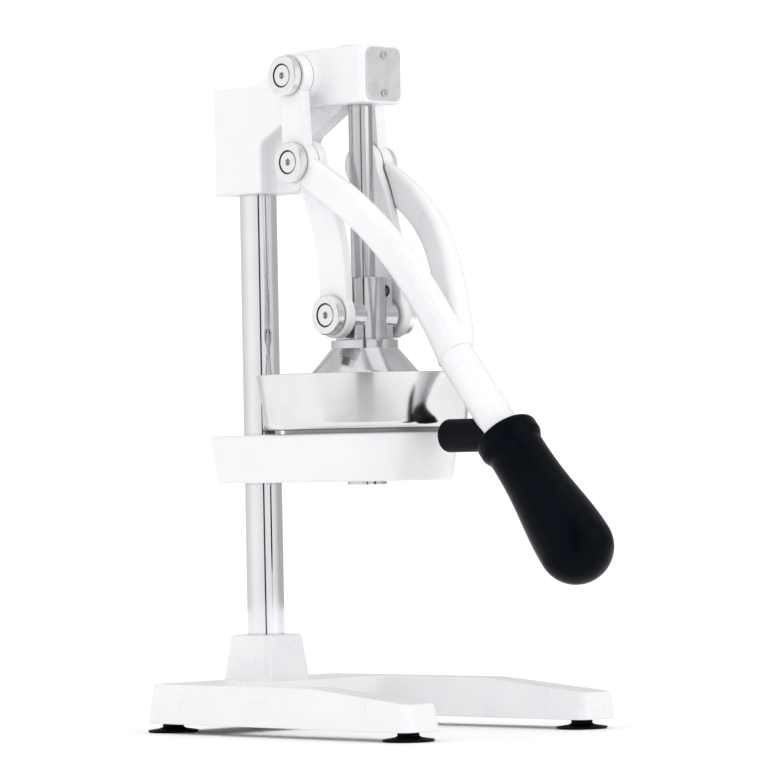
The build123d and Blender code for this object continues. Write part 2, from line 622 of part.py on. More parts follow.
def set_screw(z):
    """Set screw with a hexagon socket, pressing on the back of the column."""
    tip = COLUMN_X - COLUMN_RADIUS - SEAT_FIT
    back = tip - SET_SCREW_LENGTH
    body = rod_x(SET_SCREW_RADIUS, 0, z, back, tip)
    socket = Plane(origin=(back, 0, z), z_dir=(1, 0, 0)) * RegularPolygon(SET_SCREW_KEY, 6)
    return body - extrude(socket, amount=SET_SCREW_LENGTH / 2)


def fulcrum_pin():
    """Pin through the head, with a tapped hole in each end."""
    half = LEVER_CAP_FACE
    pin = rod_y(PIN_RADIUS, FULCRUM_X, FULCRUM_Z, 1, -half, half)
    for _, side in SIDES:
        pin -= tapped_hole(FULCRUM_X, FULCRUM_Z, side, half)
    return pin


def nameplate():
    """Blank plate on the arm's front face."""
    face = Plane(origin=(ARM_NOSE + SEAT_FIT, 0, PLATE_MIDDLE), x_dir=(0, 1, 0), z_dir=(1, 0, 0))
    plate = extrude(face * RectangleRounded(PLATE_WIDTH, PLATE_HEIGHT, PLATE_CORNER), amount=PLATE_THICKNESS)
    for z in plate_screw_heights():
        plate -= rod_x(PLATE_SCREW_RADIUS + SEAT_FIT, 0, z, ARM_NOSE, ARM_NOSE + PLATE_THICKNESS + PAST)
    return plate


def plate_screw_heights():
    """Heights of the two nameplate screws."""
    return (PLATE_MIDDLE - PLATE_SCREW_PITCH / 2, PLATE_MIDDLE + PLATE_SCREW_PITCH / 2)


def plate_screw(z):
    """Round-head drive screw."""
    seat = ARM_NOSE + PLATE_THICKNESS + 2 * SEAT_FIT
    shank = rod_x(PLATE_SCREW_RADIUS, 0, z, seat - PLATE_SCREW_LENGTH, seat)
    head = rod_x(PLATE_SCREW_HEAD_RADIUS, 0, z, seat, seat + PLATE_SCREW_HEAD)
    rim = head.edges().filter_by(GeomType.CIRCLE).group_by(Axis.X)[-1]
    return shank + fillet(rim, PLATE_SCREW_DOME)


# ---- pivots ----


def tapped_hole(x, z, side, face):
    """Hole for a cap screw in the outer end of a pin."""
    depth = CAP_SCREW_DEPTH + PAST
    return rod_y(CAP_SCREW_RADIUS + SEAT_FIT, x, z, side, face - depth, face + PAST)


def pivot_cap(x, z, side, face):
    """Thick washer on a pin's end, counterbored for its screw."""
    inner = face + SEAT_FIT
    outer = inner + CAP_THICKNESS
    cap = rod_y(CAP_RADIUS, x, z, side, inner, outer)
    cap = chamfer(cap.edges().filter_by(GeomType.CIRCLE), CAP_CHAMFER)
    cap -= rod_y(CAP_COUNTERBORE_RADIUS, x, z, side, outer - CAP_COUNTERBORE_DEPTH, outer + PAST)
    return cap - rod_y(CAP_SCREW_RADIUS + SEAT_FIT, x, z, side, inner - PAST, outer)


def cap_screw(x, z, side, face):
    """Low-head socket screw in a pivot cap."""
    seat = face + CAP_THICKNESS - CAP_COUNTERBORE_DEPTH + 2 * SEAT_FIT
    end = seat + CAP_SCREW_HEAD
    head = rod_y(CAP_SCREW_HEAD_RADIUS, x, z, side, seat, end)
    head = chamfer(head.edges().filter_by(GeomType.CIRCLE), CAP_CHAMFER / 2)
    shank = rod_y(CAP_SCREW_RADIUS, x, z, side, face - CAP_SCREW_DEPTH, seat)
    hexagon = RegularPolygon(HEX_KEY / 2, 6, major_radius=False)
    socket = Plane(origin=(x, side * (end + PAST), z), z_dir=(0, -side, 0)) * hexagon
    return head + shank - extrude(socket, amount=HEX_KEY_DEPTH + PAST)


def pivot_pin(x, z, side, inner, outer):
    """Short pin with a tapped hole in its outer end."""
    return rod_y(PIN_RADIUS, x, z, side, inner, outer) - tapped_hole(x, z, side, outer)


# ---- lever ----


def arm_section(index, side):
    """Rounded section of one lever arm at a station, square to its centre line."""
    root_y = (LEVER_INSIDE + LEVER_OUTSIDE) / 2
    stations = [(0.0, 0.0, root_y, ARM_ROOT_DEPTH, LEVER_THICKNESS - ARM_ROOT_SET_BACK)]
    stations += list(ARM_STATIONS)
    stations.append((SHAFT_FORWARD, SHAFT_DROP, 0.0, 2 * SHAFT_RADIUS, 2 * SHAFT_RADIUS - 2))

    def centre(i):
        forward, drop, y, _, _ = stations[i]
        return Vector(CRANK_X + forward, side * y, CRANK_Z - drop)

    depth, thickness = stations[index][3:]
    if index == len(stations) - 1:
        run = SHAFT_RUN
    elif index == 0:
        run = Vector(ARM_ROOT_RUN[0], 0, ARM_ROOT_RUN[1]).normalized()
    else:
        run = (centre(index + 1) - centre(index - 1)).normalized()
    across = Vector(0, 1, 0)
    across = (across - run * across.dot(run)).normalized()
    plane = Plane(origin=centre(index), x_dir=across, z_dir=run)
    return plane * RectangleRounded(thickness, depth, thickness * ARM_CORNER_SHARE)


def lever_arm(side):
    """One arm of the fork, from the crank pin to the shaft."""
    return loft([arm_section(index, side) for index in range(len(ARM_STATIONS) + 2)])


def crank_strip(side):
    """Flat arm between the fulcrum and the crank pin."""
    middle = (side * (LEVER_INSIDE + LEVER_OUTSIDE) / 2, (CRANK_Z + FULCRUM_Z) / 2)
    strip = Rot(0, -CRANK_LEAN, 0) * Box(2 * CRANK_STRIP_HALF, LEVER_THICKNESS, CRANK)
    strip = Pos((FULCRUM_X + CRANK_X) / 2, *middle) * strip
    for x, z in ((CRANK_X, CRANK_Z), (FULCRUM_X, FULCRUM_Z)):
        strip += rod_y(HUB_RADIUS, x, z, side, LEVER_INSIDE, LEVER_OUTSIDE)
    return strip


def lever_fork():
    """Crank arms, fork and shaft in one forging."""
    shaft = extrude(SHAFT_PLANE * Circle(SHAFT_RADIUS), amount=GRIP_START - SEAT_FIT)
    core_plane = SHAFT_PLANE.offset(GRIP_START + SEAT_FIT - PAST)
    lever = shaft + extrude(core_plane * Circle(GRIP_CORE_RADIUS), amount=GRIP_CORE_LENGTH)
    for _, side in SIDES:
        lever += lever_arm(side) + crank_strip(side)
    for _, side in SIDES:
        inside = LEVER_INSIDE - PAST
        outside = LEVER_OUTSIDE + PAST
        lever -= rod_y(PIN_RADIUS + RUN_FIT, FULCRUM_X, FULCRUM_Z, side, inside, outside)
        lever -= rod_y(PIN_RADIUS + SEAT_FIT, CRANK_X, CRANK_Z, side, inside, outside)
        lever -= rod_y(CAP_RADIUS + PAST, CRANK_X, CRANK_Z, side, LEVER_OUTSIDE, outside + PAST)
        lever -= rod_y(LINK_EYE_RADIUS + PAST, CRANK_X, CRANK_Z, side, inside - PAST, LEVER_INSIDE)
        lever -= link_room(side)
    return lever - bumper_stud_rod(SEAT_FIT)


def link_room(side):
    """Room for a link on the inner face of the lever's arm."""
    half = (LEVER_INSIDE - LINK_INSIDE + PAST) / 2
    room = plate_xz(offset(link_face(), amount=PAST), half)
    return Pos(0, side * (LEVER_INSIDE - half), 0) * room


def grip_profile():
    """Half outline of the grip, from radius and distance along the shaft."""
    neck = GRIP_COLLAR + GRIP_COLLAR_FALL + 2
    tip_centre = GRIP_LENGTH - GRIP_END_RADIUS
    swell = Spline(
        (GRIP_NECK_RADIUS, neck),
        (GRIP_NECK_RADIUS + GRIP_SWELL, neck + (tip_centre - neck) * GRIP_SWELL_PLACE),
        (GRIP_END_RADIUS, tip_centre),
        tangents=((0, 1), (0, 1)),
    )
    tip = RadiusArc((GRIP_END_RADIUS, tip_centre), (0, GRIP_LENGTH), -GRIP_END_RADIUS)
    lip = FilletPolyline(
        (0, 0),
        (GRIP_COLLAR_RADIUS, 0),
        (GRIP_COLLAR_RADIUS, GRIP_COLLAR),
        (GRIP_NECK_RADIUS, GRIP_COLLAR + GRIP_COLLAR_FALL),
        (GRIP_NECK_RADIUS, neck),
        radius=[3.5, 3.0, 1.8],
    )
    return make_face([lip, swell, tip, Line((0, GRIP_LENGTH), (0, 0))])


def lever_grip():
    """Black grip pushed on the lever's end."""
    solid = revolve(Plane.XZ * grip_profile(), Axis.Z)
    solid -= rod_z(GRIP_CORE_RADIUS + SEAT_FIT, 0, 0, -PAST, GRIP_CORE_LENGTH)
    return GRIP_PLANE * solid


def bumper_stud_rod(clearance):
    """Stud between the bumper and the lever's shaft, with a clearance round it."""
    end = BUMPER_SHAFT_X - BUMPER_STUD_END + clearance
    start = BUMPER_SHAFT_X - BUMPER_STUD_END - BUMPER_STUD_LENGTH - clearance
    return rod_x(BUMPER_STUD_RADIUS + clearance, 0, BUMPER_Z, start, end)


def lever_bumper():
    """Rubber stop under the shaft, shaped to seat on it."""
    body = rod_x(BUMPER_RADIUS, 0, BUMPER_Z, BUMPER_FACE_X, BUMPER_SHAFT_X)
    body = fillet(body.edges().filter_by(GeomType.CIRCLE).group_by(Axis.X)[0], BUMPER_EDGE)
    body -= extrude(SHAFT_PLANE * Circle(SHAFT_RADIUS + SEAT_FIT), amount=GRIP_START)
    body -= extrude(GRIP_PLANE * Circle(GRIP_COLLAR_RADIUS + SEAT_FIT), amount=GRIP_LENGTH / 2)
    kept = body.solids().sort_by(Axis.X)[0]
    return kept - bumper_stud_rod(SEAT_FIT)


# ---- links ----


def link_face():
    """Side view of one link at rest, curved forward between its two eyes."""
    low = Vector(0, HEAD_PIN_Z)
    high = Vector(CRANK_X, CRANK_Z)
    run = (high - low).normalized()
    forward = Vector(run.Y, -run.X)
    middle = (low + high) * 0.5
    half = LINK_WIDTH / 2

    def curve(offset):
        ends = [point + forward * offset for point in (low, high)]
        return ThreePointArc(ends[0], middle + forward * (LINK_BOW + offset), ends[1])

    front = curve(half)
    back = curve(-half)
    band = make_face([front, back, Line(front @ 0, back @ 0), Line(front @ 1, back @ 1)])
    eyes = [Pos(point.X, point.Y) * Circle(LINK_EYE_RADIUS) for point in (low, high)]
    whole = band + eyes[0] + eyes[1]
    return fillet(whole.vertices(), LINK_BLEND)


def link(side):
    """Curved link with an eye at each end."""
    half = LINK_THICKNESS / 2
    body = plate_xz(link_face(), half)
    body = fillet(edges_near(body, lambda p: abs(p.Y) > half - SEAT_FIT), LINK_EDGE)
    body = Pos(0, side * (LINK_INSIDE + half), 0) * body
    inside = LINK_INSIDE - PAST
    outside = LINK_OUTSIDE + PAST
    body -= rod_y(PIN_RADIUS + RUN_FIT, 0, HEAD_PIN_Z, side, inside, outside)
    return body - rod_y(PIN_RADIUS + SEAT_FIT, CRANK_X, CRANK_Z, side, inside, outside)


# ---- ram and press head ----


def bell_outside():
    """Outer profile of the bell: shoulder, cone and flared skirt."""
    return [
        (SHOULDER_RADIUS, SHOULDER_TOP),
        (SHOULDER_RADIUS, CONE_TOP),
        (KNEE_RADIUS, KNEE_Z),
        (BELL_RIM_RADIUS - BELL_LIP, BELL_RIM_Z + 2 * BELL_LIP),
        (BELL_RIM_RADIUS, BELL_RIM_Z + BELL_LIP),
        (BELL_RIM_RADIUS, BELL_RIM_Z),
    ]


def bell():
    """Hollow bell."""
    roof = CONE_TOP - BELL_WALL * 0.7
    inside = [
        (BELL_RIM_RADIUS - BELL_WALL, BELL_RIM_Z),
        (KNEE_RADIUS - BELL_WALL, KNEE_Z - BELL_WALL / 2),
        (SHOULDER_RADIUS - BELL_WALL, roof),
        (0, roof),
    ]
    return turned(bell_outside() + inside + [(0, SHOULDER_TOP)])


def press_head():
    """Bell, hub and two ears in one casting."""
    head = bell() + rod_z(HEAD_HUB_RADIUS, 0, 0, SHOULDER_TOP - PAST, HUB_TOP)
    for _, side in SIDES:
        low_y, high_y = sorted((side * EAR_INSIDE, side * EAR_OUTSIDE))
        low = (-EAR_HALF_WIDTH, low_y, SHOULDER_TOP - PAST)
        ear = block(low, (EAR_HALF_WIDTH, high_y, HUB_TOP - EAR_DROP))
        ear = fillet(ear.edges().filter_by(Axis.Z), EAR_CORNER)
        head += ear + rod_y(EAR_BOSS_RADIUS, 0, HEAD_PIN_Z, side, EAR_INSIDE, EAR_BOSS_FACE)
    head -= rod_z(RAM_RADIUS + SEAT_FIT, 0, 0, RAM_BOTTOM, HUB_TOP + PAST)
    for _, side in SIDES:
        head -= head_pin_rod(side, SEAT_FIT)
    return head - lock_pin_hole()


def lock_pin_hole():
    """Hole across the right ear and the side of the ram."""
    reach = HEAD_HUB_RADIUS + EAR_HALF_WIDTH
    return rod_x(LOCK_PIN_RADIUS + SEAT_FIT, LOCK_PIN_Y, LOCK_PIN_Z, -reach, reach)


def head_pin_rod(side, clearance):
    """Pin of the press head on one side, with a clearance round it."""
    inner = RAM_RADIUS + HEAD_PIN_ROOT - clearance
    return rod_y(PIN_RADIUS + clearance, 0, HEAD_PIN_Z, side, inner, HEAD_CAP_FACE)


def ram():
    """Round bar with a notch for its lock pin."""
    bar = rod_z(RAM_RADIUS, 0, 0, RAM_BOTTOM + SEAT_FIT, RAM_TOP)
    bar = chamfer(bar.edges().filter_by(GeomType.CIRCLE), RAM_CHAMFER)
    return bar - lock_pin_hole()


def ram_lock_pin():
    """Pin across the side of the ram."""
    half = LOCK_PIN_LENGTH / 2
    return rod_x(LOCK_PIN_RADIUS, LOCK_PIN_Y, LOCK_PIN_Z, -LOCK_PIN_BACK - half, -LOCK_PIN_BACK + half)


# ---- shelf and bowl ----


def shelf_outline(inset):
    """Round seat with straight sides running back to the column."""
    rear = COLUMN_X - COLUMN_RADIUS - SHELF_REAR_WALL + inset
    half = COLUMN_RADIUS + SHELF_TAIL_WALL - inset
    corner = SHELF_CORNER - inset
    tail = Pos(rear + SHELF_TAIL_LENGTH / 2, 0) * RectangleRounded(SHELF_TAIL_LENGTH, 2 * half, corner)
    seat = Circle(SHELF_RADIUS - inset)
    return make_hull(tail.edges() + seat.edges())


def shelf_body(inset, bottom, top):
    """Drafted solid of the shelf, narrower towards its bottom."""
    upper = Pos(0, 0, top) * shelf_outline(inset)
    return extrude(upper, amount=top - bottom, dir=(0, 0, -1), taper=CAST_DRAFT)


def shelf():
    """Shelf with its seat, spout hole, column bore and hollow underside."""
    body = shelf_body(0, SHELF_BOTTOM, SHELF_TOP)
    body = fillet(body.edges().group_by(Axis.Z)[-1], SHELF_EDGE)
    body = fillet(body.edges().group_by(Axis.Z)[0], SHELF_EDGE)
    low = SHELF_BOTTOM - PAST
    spout_hole = SPOUT_RADIUS + SPOUT_GAP
    pocket = shelf_body(SHELF_POCKET_INSET, low, SHELF_TOP - SHELF_WALL)
    pocket -= rod_z(spout_hole + SHELF_WALL, 0, 0, low - PAST, SHELF_TOP)
    pocket -= rod_z(COLUMN_RADIUS + SHELF_WALL, COLUMN_X, 0, low - PAST, SHELF_TOP)
    body += rod_z(SEAT_RADIUS, 0, 0, SHELF_TOP - PAST, SEAT_TOP)
    body -= pocket
    body -= rod_z(spout_hole, 0, 0, low, SEAT_TOP + PAST)
    body -= rod_z(COLUMN_RADIUS + SEAT_FIT, COLUMN_X, 0, low, SHELF_TOP + PAST)
    rear = COLUMN_X - COLUMN_RADIUS - SHELF_REAR_WALL - PAST
    return body - rod_x(SET_SCREW_RADIUS + SEAT_FIT, 0, shelf_screw_z(), rear, COLUMN_X)


def shelf_screw_z():
    """Height of the shelf's set screw."""
    return SHELF_BOTTOM + SHELF_THICKNESS / 2


def juice_bowl():
    """Bowl with a drain spout through the shelf."""
    floor = SEAT_TOP + SEAT_FIT
    rim = floor + BOWL_DEPTH
    lean = (BOWL_RIM_RADIUS - BOWL_BASE_RADIUS) / BOWL_DEPTH
    outer = [
        (SPOUT_RADIUS, SPOUT_BOTTOM),
        (SPOUT_RADIUS, floor),
        (BOWL_BASE_RADIUS, floor),
        (BOWL_RIM_RADIUS, rim),
        (BOWL_RIM_RADIUS - BOWL_WALL, rim),
        (BOWL_BASE_RADIUS - BOWL_WALL + lean * BOWL_WALL, floor + BOWL_WALL),
        (SPOUT_RADIUS - BOWL_WALL, floor + BOWL_WALL),
        (SPOUT_RADIUS - BOWL_WALL, SPOUT_BOTTOM),
    ]
    radii = [0, 0, BOWL_CORNER, 0.3, 0.3, BOWL_CORNER - BOWL_WALL, 1.0, 0]
    return revolve(Plane.XZ * outline(outer, radii), Axis.Z)


def strainer():
    """Perforated dish that stands on the bowl's floor and carries the reamer."""
    floor = BOWL_FLOOR + 2 * SEAT_FIT
    points = [
        (STRAINER_DRAIN_RADIUS, STRAINER_TOP - STRAINER_SHEET),
        (STRAINER_RADIUS - STRAINER_SHEET, STRAINER_TOP - STRAINER_SHEET),
        (STRAINER_RADIUS - STRAINER_SHEET, floor),
        (STRAINER_RADIUS, floor),
        (STRAINER_RADIUS, STRAINER_TOP),
        (STRAINER_DRAIN_RADIUS, STRAINER_TOP),
    ]
    dish = turned(points)
    for inward, count in STRAINER_RINGS:
        places = PolarLocations(STRAINER_RADIUS - inward, count)
        holes = places * Cylinder(STRAINER_HOLE_RADIUS, 4 * STRAINER_SHEET)
        dish -= [Pos(0, 0, STRAINER_TOP) * hole for hole in holes]
    return dish


def reamer_dome(radius, height):
    """Pointed dome with a rounded tip, standing on the strainer."""
    foot = STRAINER_TOP + SEAT_FIT
    side = Spline(
        (radius, foot),
        (radius * 0.62, foot + height * 0.55),
        (REAMER_TIP_RADIUS, foot + height - REAMER_TIP),
        tangents=((-0.25, 1), (-1, 0.75)),
    )
    tip = Line(side @ 1, (0, foot + height))
    face = make_face([side, tip, Line((0, foot + height), (0, foot)), Line((0, foot), (radius, foot))])
    return revolve(Plane.XZ * face, Axis.Z)


def reamer_cone():
    """Ribbed hollow cone that the fruit is pressed on."""
    foot = STRAINER_TOP + SEAT_FIT
    core = reamer_dome(REAMER_RADIUS - REAMER_RIB_RISE, REAMER_HEIGHT - REAMER_RIB_RISE)
    envelope = reamer_dome(REAMER_RADIUS, REAMER_HEIGHT)
    half = REAMER_RIB / 2
    blade = block((REAMER_RIB_START, -half, foot), (REAMER_RADIUS + PAST, half, foot + REAMER_HEIGHT))
    cone = core
    for index in range(REAMER_RIBS):
        cone += envelope & (Rot(0, 0, 360 * index / REAMER_RIBS) * blade)
    inside = reamer_dome(REAMER_RADIUS - REAMER_RIB_RISE - REAMER_WALL, REAMER_HEIGHT - 3 * REAMER_WALL)
    return cone - inside


def nodes():
    """Every node's name and shape, still about the ram axis."""
    shapes = {
        "base_casting": base_casting(),
        "foot_screws": Compound([foot_screw(place) for _, place in foot_places()]),
        "column": column(),
        "column_washer": column_washer(),
        "column_bolt": column_bolt(),
        "head_casting": head_casting(),
        "head_set_screws": Compound([set_screw(z) for z in head_screw_heights()]),
        "shelf": shelf(),
        "shelf_set_screw": set_screw(shelf_screw_z()),
        "juice_bowl": juice_bowl(),
        "strainer": strainer(),
        "reamer_cone": reamer_cone(),
        "nameplate": nameplate(),
        "nameplate_screws": Compound([plate_screw(z) for z in plate_screw_heights()]),
        "fulcrum_pin": fulcrum_pin(),
        "lever_fork": lever_fork(),
        "lever_grip": lever_grip(),
        "lever_bumper": lever_bumper(),
        "bumper_stud": bumper_stud_rod(0),
        "press_head": press_head(),
        "ram": ram(),
        "ram_lock_pin": ram_lock_pin(),
    }
    for name, place in foot_places():
        shapes[name] = foot(place)
    for name, side in SIDES:
        shapes[f"fulcrum_cap_{name}"] = pivot_cap(FULCRUM_X, FULCRUM_Z, side, LEVER_CAP_FACE)
        shapes[f"fulcrum_screw_{name}"] = cap_screw(FULCRUM_X, FULCRUM_Z, side, LEVER_CAP_FACE)
        shapes[f"crank_pin_{name}"] = pivot_pin(CRANK_X, CRANK_Z, side, LEVER_INSIDE, LEVER_OUTSIDE)
        shapes[f"crank_cap_{name}"] = pivot_cap(CRANK_X, CRANK_Z, side, LEVER_OUTSIDE)
        shapes[f"crank_screw_{name}"] = cap_screw(CRANK_X, CRANK_Z, side, LEVER_OUTSIDE)
        shapes[f"link_{name}"] = link(side)
        shapes[f"link_stud_{name}"] = rod_y(PIN_RADIUS, CRANK_X, CRANK_Z, side, LINK_INSIDE, LINK_OUTSIDE)
        shapes[f"head_pin_{name}"] = head_pin_rod(side, 0) - tapped_hole(0, HEAD_PIN_Z, side, HEAD_CAP_FACE)
        shapes[f"head_cap_{name}"] = pivot_cap(0, HEAD_PIN_Z, side, HEAD_CAP_FACE)
        shapes[f"head_screw_{name}"] = cap_screw(0, HEAD_PIN_Z, side, HEAD_CAP_FACE)
    return shapes


for node_name, shape in nodes().items():
    export_step(Pos(-MIDDLE_X, 0, 0) * shape, f"parts/{node_name}.step")
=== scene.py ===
import json
import logging
import math
from dataclasses import dataclass
from enum import Enum

import bpy
from mathutils import Matrix, Vector


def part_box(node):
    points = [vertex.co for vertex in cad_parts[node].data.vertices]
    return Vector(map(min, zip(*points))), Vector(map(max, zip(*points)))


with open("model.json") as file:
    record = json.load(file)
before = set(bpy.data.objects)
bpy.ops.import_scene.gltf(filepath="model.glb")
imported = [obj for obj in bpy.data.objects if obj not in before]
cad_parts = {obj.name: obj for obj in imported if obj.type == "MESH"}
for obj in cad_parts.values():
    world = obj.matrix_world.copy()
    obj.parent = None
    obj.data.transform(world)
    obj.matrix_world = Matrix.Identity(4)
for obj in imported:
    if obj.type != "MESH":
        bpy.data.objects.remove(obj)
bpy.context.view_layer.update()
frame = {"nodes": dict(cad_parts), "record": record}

LOG = logging.getLogger("citrus_press")
MM = 0.001
CAP_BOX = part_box("fulcrum_cap_left")
CAP_DIAMETER = CAP_BOX[1].x - CAP_BOX[0].x

# Colour and roughness run between their two ends from the first of these noise values to the second.
NOISE_LOW = 0.35
NOISE_HIGH = 0.65
NOISE_ROUGHNESS = 0.55
MARK_DETAIL = 3.0
PATCH_DETAIL = 2.0
WAVE_DETAIL = 1.0
# Shade painted into crevices: a spot gets the full painted shade when the first share of its surroundings is
# open, and none at the second share.
CREVICE_CLOSED = 0.1
CREVICE_OPEN = 0.75
CREVICE_SAMPLES = 8
EDGE_SAMPLES = 6


def press_axis() -> Vector:
    """Gives the floor point under the ram.

    Returns:
        The point, in metres.
    """
    low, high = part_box("ram")
    return Vector(((low.x + high.x) / 2, (low.y + high.y) / 2, 0))


# ---------------------------------------------------------------- colours and nodes


def linear(hex_colour: str) -> tuple[float, float, float, float]:
    """Turns an sRGB hex colour into the linear colour that a shader takes.

    Args:
        hex_colour: six hex digits, such as "F4F5F6".

    Returns:
        Red, green, blue and an alpha of 1, linear.
    """
    channels = []
    for start in (0, 2, 4):
        value = int(hex_colour[start : start + 2], 16) / 255
        channels.append(value / 12.92 if value <= 0.04045 else ((value + 0.055) / 1.055) ** 2.4)
    return (channels[0], channels[1], channels[2], 1.0)


def add_node(
    tree: bpy.types.NodeTree,
    kind: str,
    settings: dict[str, object] | None = None,
    inputs: dict[str | int, object] | None = None,
) -> bpy.types.Node:
    """Adds one shader node, sets its properties and fills or links its inputs.

    Args:
        tree: the material's node tree.
        kind: the node's type name.
        settings: node properties by name.
        inputs: values or output sockets, by input name or number.

    Returns:
        The new node.
    """
    node = tree.nodes.new(kind)
    for name, value in (settings or {}).items():
        setattr(node, name, value)
    for name, value in (inputs or {}).items():
        if isinstance(value, bpy.types.NodeSocket):
            tree.links.new(value, node.inputs[name])
        else:
            node.inputs[name].default_value = value
    return node


def ramp(
    tree: bpy.types.NodeTree,
    source: bpy.types.NodeSocket,
    stops: list[tuple[float, object]],
) -> bpy.types.NodeSocket:
    """Maps a grey value to a colour or another grey through a colour ramp.

    Args:
        tree: the material's node tree.
        source: the grey value's socket.
        stops: position and value of each stop; a value is a hex colour or a grey number.

    Returns:
        The ramp's colour socket.
    """
    node = add_node(tree, "ShaderNodeValToRGB", inputs={"Fac": source})
    elements = node.color_ramp.elements
    while len(elements) < len(stops):
        elements.new(0.5)
    for element, (position, value) in zip(elements, stops, strict=True):
        element.position = position
        element.color = linear(value) if isinstance(value, str) else (value, value, value, 1.0)
    return node.outputs["Color"]


class Grain(Enum):
    """The way that a surface's fine marks run."""

    EVEN = "even"
    ROUND_Z = "round an upright axis"
    ALONG_Z = "up and down"
    RINGS_Y = "rings round a pivot"


@dataclass(frozen=True)
class Finish:
    """One real material and the way its surface was made, with shade painted into its holes and seams.

    Sizes are in millimetres. Colours are sRGB hex values.
    """

    name: str
    light: str
    dark: str
    metallic: float
    roughness: tuple[float, float]
    mark_size: float
    mark_depth: float
    grain: Grain = Grain.EVEN
    stretch: float = 1.0
    patch_size: float = 30.0
    wave_size: float = 0.0
    wave_depth: float = 0.0
    coat: float = 0.0
    coat_roughness: float = 0.05
    specular: float = 0.5
    edge_radius: float = 0.3
    # The next two fields set the shade painted into holes and where pieces meet: how far it reaches and how
    # dark it gets.
    crevice_size: float = 4.0
    painted_crevice_shade: float = 0.35

    def coordinates(self, tree: bpy.types.NodeTree) -> bpy.types.NodeSocket:
        """Gives the coordinates that the fine marks are drawn in.

        Args:
            tree: the material's node tree.

        Returns:
            A vector socket, in metres, or in cap diameters for rings round a pivot.
        """
        where = add_node(tree, "ShaderNodeTexCoord")
        if self.grain is Grain.ALONG_Z:
            return self.along_z(tree, where.outputs["Object"])
        if self.grain is Grain.ROUND_Z:
            return self.round_z(tree, where.outputs["Object"])
        if self.grain is Grain.RINGS_Y:
            return self.rings_y(tree, where.outputs["Generated"])
        return where.outputs["Object"]

    def along_z(self, tree: bpy.types.NodeTree, place: bpy.types.NodeSocket) -> bpy.types.NodeSocket:
        """Stretches coordinates up and down.

        Args:
            tree: the material's node tree.
            place: coordinates in metres.

        Returns:
            A vector socket.
        """
        scale = (1, 1, 1 / self.stretch)
        mapping = add_node(tree, "ShaderNodeMapping", inputs={"Vector": place, "Scale": scale})
        return mapping.outputs["Vector"]

    def round_z(self, tree: bpy.types.NodeTree, place: bpy.types.NodeSocket) -> bpy.types.NodeSocket:
        """Stretches coordinates round the press's own axis, so that marks become fine rings.

        Args:
            tree: the material's node tree.
            place: coordinates in metres.

        Returns:
            A vector socket.
        """
        kind = "ShaderNodeVectorMath"
        shifted = add_node(tree, kind, {"operation": "SUBTRACT"}, {0: place, 1: tuple(press_axis())})
        split = add_node(tree, "ShaderNodeSeparateXYZ", inputs={"Vector": shifted.outputs["Vector"]})
        level = {"X": split.outputs["X"], "Y": split.outputs["Y"]}
        flat = add_node(tree, "ShaderNodeCombineXYZ", inputs=level).outputs["Vector"]
        radius = add_node(tree, kind, {"operation": "LENGTH"}, {0: flat}).outputs["Value"]
        along = add_node(tree, "ShaderNodeMath", {"operation": "ADD"}, {0: radius, 1: split.outputs["Z"]})
        thin = add_node(tree, kind, {"operation": "SCALE"}, {0: flat, "Scale": 1 / self.stretch})
        parts = add_node(tree, "ShaderNodeSeparateXYZ", inputs={"Vector": thin.outputs["Vector"]})
        rings = {"X": parts.outputs["X"], "Y": parts.outputs["Y"], "Z": along.outputs["Value"]}
        return add_node(tree, "ShaderNodeCombineXYZ", inputs=rings).outputs["Vector"]

    def rings_y(self, tree: bpy.types.NodeTree, place: bpy.types.NodeSocket) -> bpy.types.NodeSocket:
        """Turns coordinates into the distance from a piece's own cross axis, so that marks become rings.

        Args:
            tree: the material's node tree.
            place: coordinates that run from 0 to 1 across the piece.

        Returns:
            A vector socket.
        """
        kind = "ShaderNodeVectorMath"
        shifted = add_node(tree, kind, {"operation": "SUBTRACT"}, {0: place, 1: (0.5, 0.5, 0.5)})
        split = add_node(tree, "ShaderNodeSeparateXYZ", inputs={"Vector": shifted.outputs["Vector"]})
        level = {"X": split.outputs["X"], "Z": split.outputs["Z"]}
        flat = add_node(tree, "ShaderNodeCombineXYZ", inputs=level).outputs["Vector"]
        radius = add_node(tree, kind, {"operation": "LENGTH"}, {0: flat}).outputs["Value"]
        return add_node(tree, "ShaderNodeCombineXYZ", inputs={"X": radius}).outputs["Vector"]

    def noise(
        self,
        tree: bpy.types.NodeTree,
        vector: bpy.types.NodeSocket,
        size: float,
        detail: float,
    ) -> bpy.types.NodeSocket:
        """Adds a noise whose lumps are about a size across.

        Args:
            tree: the material's node tree.
            vector: coordinates.
            size: size of a lump, in the coordinates' units.
            detail: levels of finer noise.

        Returns:
            The grey value's socket.
        """
        values = {"Vector": vector, "Scale": 1 / size, "Detail": detail, "Roughness": NOISE_ROUGHNESS}
        return add_node(tree, "ShaderNodeTexNoise", inputs=values).outputs["Fac"]

    def paint_crevice_shade(self, tree: bpy.types.NodeTree, colour: bpy.types.NodeSocket) -> bpy.types.NodeSocket:
        """Paints shade into a colour in holes and along the lines where pieces meet.

        Args:
            tree: the material's node tree.
            colour: the colour in the open.

        Returns:
            The shaded colour's socket.
        """
        reach = {"Distance": self.crevice_size * MM}
        around = add_node(tree, "ShaderNodeAmbientOcclusion", {"samples": CREVICE_SAMPLES}, reach)
        open_share = around.outputs["AO"]
        shade = ramp(tree, open_share, [(CREVICE_CLOSED, self.painted_crevice_shade), (CREVICE_OPEN, 1.0)])
        return add_node(
            tree, "ShaderNodeVectorMath", {"operation": "MULTIPLY"}, {0: colour, 1: shade}
        ).outputs["Vector"]

